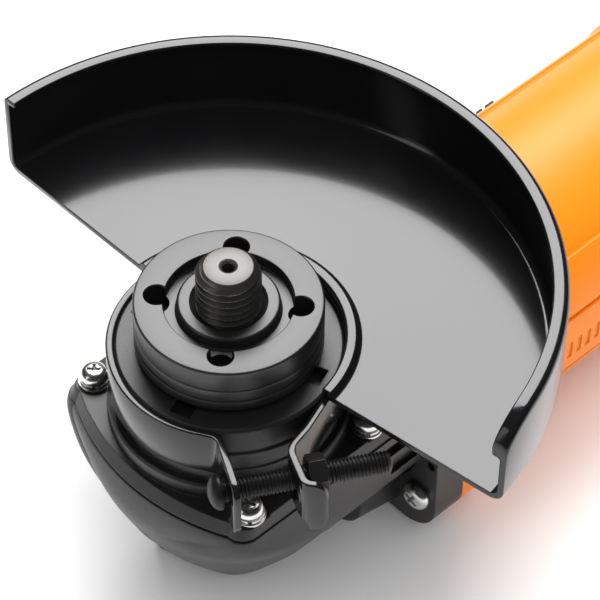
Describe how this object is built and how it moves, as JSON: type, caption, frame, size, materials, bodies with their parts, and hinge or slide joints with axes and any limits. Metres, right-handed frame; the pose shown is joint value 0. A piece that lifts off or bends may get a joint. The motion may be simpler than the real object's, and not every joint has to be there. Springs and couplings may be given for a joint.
{
  "type": "angle grinder",
  "caption": "Mains angle grinder lying spindle-up: black bevel gear case with threaded spindle, lock nut and swivelling wheel guard, orange motor barrel and black rear handle.",
  "frame": {"origin": "on the spindle axis, at the flat top face of the gear case, which the tool lies on", "axes": "+Z along the spindle towards its threaded end, +X along the motor axis towards the cord end"},
  "size_m": [0.2771, 0.1411, 0.0948],
  "materials": {
    "black_casting": "satin black paint over die-cast aluminium",
    "gloss_black_steel": "gloss black enamel",
    "black_fastener": "black oxide",
    "blackened_steel": "blackened steel, turned, bright at the worn edges",
    "zinc_steel": "bright zinc plate",
    "gear_steel": "ground steel, oiled",
    "bearing_steel": "ground and polished",
    "laminated_steel": "stacked laminations",
    "varnished_copper": "varnished copper wire",
    "copper_bars": "machined copper bars",
    "brass": "pressed brass",
    "spring_steel": "drawn wire",
    "carbon": "electrographite",
    "orange_plastic": "fine moulded grain",
    "black_plastic": "glass-filled nylon, fine grain",
    "film_capacitor": "moulded case",
    "rubber": "moulded",
    "gasket_paper": "compressed fibre"
  },
  "bodies": {
    "casing": {"gear_case": "black_casting", "bearing_cover": "black_casting", "cover_gasket": "gasket_paper", "cover_screws": "zinc_steel", "cover_spring_washers": "zinc_steel", "cover_flat_washers": "zinc_steel", "case_screws": "zinc_steel", "needle_bush": "bearing_steel", "dust_seal": "rubber", "spindle_bearing_outer_ring": "bearing_steel", "bearing_circlip": "gear_steel", "front_bearing_outer_ring": "bearing_steel", "rear_bearing_outer_ring": "bearing_steel", "rear_bearing_sleeve": "rubber", "fan_baffle": "black_plastic", "stator_core": "laminated_steel", "field_coils": "varnished_copper", "stator_screws": "zinc_steel", "brush_plate": "black_plastic", "brush_holders": "brass", "motor_housing": "orange_plastic", "left_handle_shell": "black_plastic", "right_handle_shell": "black_plastic", "handle_screws": "zinc_steel", "cord_inlet": "rubber", "cord_clamp": "black_plastic", "cord_clamp_screws": "zinc_steel", "switch_unit": "black_plastic", "capacitor": "film_capacitor", "lock_spring": "spring_steel", "upper_brush_spring": "spring_steel", "lower_brush_spring": "spring_steel"},
    "rotor": {"armature_shaft": "gear_steel", "armature_core": "laminated_steel", "armature_windings": "varnished_copper", "commutator": "copper_bars", "cooling_fan": "black_plastic", "bevel_pinion": "gear_steel", "pinion_nut": "gear_steel", "front_bearing_inner_ring": "bearing_steel", "rear_bearing_inner_ring": "bearing_steel"},
    "output_spindle": {"spindle": "blackened_steel", "ring_gear": "gear_steel", "gear_circlip": "gear_steel", "inner_flange": "blackened_steel", "spindle_bearing_inner_ring": "bearing_steel"},
    "wheel_nut": {"lock_nut": "blackened_steel"},
    "spindle_ball_set": {"spindle_bearing_balls": "bearing_steel"},
    "front_ball_set": {"front_bearing_balls": "bearing_steel"},
    "rear_ball_set": {"rear_bearing_balls": "bearing_steel"},
    "wheel_guard": {"guard": "gloss_black_steel", "guard_band": "gloss_black_steel", "clamp_bolt": "black_fastener", "clamp_nut": "black_fastener"},
    "spindle_lock": {"lock_button": "black_plastic"},
    "slide_switch": {"switch_knob": "black_plastic", "switch_rod": "black_plastic"},
    "upper_carbon_brush": {"upper_brush": "carbon"},
    "lower_carbon_brush": {"lower_brush": "carbon"}
  },
  "joints": [
    {"name": "armature_spin", "type": "hinge", "parent": "casing", "child": "rotor", "pos_m": [0.08, 0, 0.032], "axis": [1, 0, 0], "continuous": true},
    {"name": "spindle_spin", "type": "hinge", "parent": "casing", "child": "output_spindle", "pos_m": [0, 0, 0.06], "axis": [0, 0, 1], "continuous": true},
    {"name": "spindle_balls_roll", "type": "hinge", "parent": "casing", "child": "spindle_ball_set", "pos_m": [0, 0, 0.055], "axis": [0, 0, 1], "continuous": true},
    {"name": "front_balls_roll", "type": "hinge", "parent": "casing", "child": "front_ball_set", "pos_m": [0.028, 0, 0.032], "axis": [1, 0, 0], "continuous": true},
    {"name": "rear_balls_roll", "type": "hinge", "parent": "casing", "child": "rear_ball_set", "pos_m": [0.1285, 0, 0.032], "axis": [1, 0, 0], "continuous": true},
    {"name": "lock_nut_off", "type": "slide", "parent": "output_spindle", "child": "wheel_nut", "axis": [0, 0, 1], "range_m": [0, 0.0175]},
    {"name": "guard_turn", "type": "hinge", "parent": "casing", "child": "wheel_guard", "pos_m": [0, 0, 0.065], "axis": [0, 0, 1], "range_deg": [-90, 45]},
    {"name": "spindle_lock_press", "type": "slide", "parent": "casing", "child": "spindle_lock", "axis": [0, 0, 1], "range_m": [0, 0.0035], "stiffness_N_per_m": 400, "springref_m": -0.003, "deforming": ["lock_spring"]},
    {"name": "switch_slide", "type": "slide", "parent": "casing", "child": "slide_switch", "axis": [-1, 0, 0], "range_m": [0, 0.008]},
    {"name": "upper_brush_slide", "type": "slide", "parent": "casing", "child": "upper_carbon_brush", "axis": [0, 0, 1], "range_m": [0, 0.002], "stiffness_N_per_m": 150, "springref_m": -0.006, "deforming": ["upper_brush_spring"]},
    {"name": "lower_brush_slide", "type": "slide", "parent": "casing", "child": "lower_carbon_brush", "axis": [0, 0, -1], "range_m": [0, 0.002], "stiffness_N_per_m": 150, "springref_m": -0.006, "deforming": ["lower_brush_spring"]}
  ],
  "couplings": [
    {"joint": "spindle_spin", "follows": "armature_spin", "ratio": -0.28571},
    {"joint": "spindle_balls_roll", "follows": "armature_spin", "ratio": -0.1052},
    {"joint": "front_balls_roll", "follows": "armature_spin", "ratio": 0.39382},
    {"joint": "rear_balls_roll", "follows": "armature_spin", "ratio": 0.36676}
  ]
}
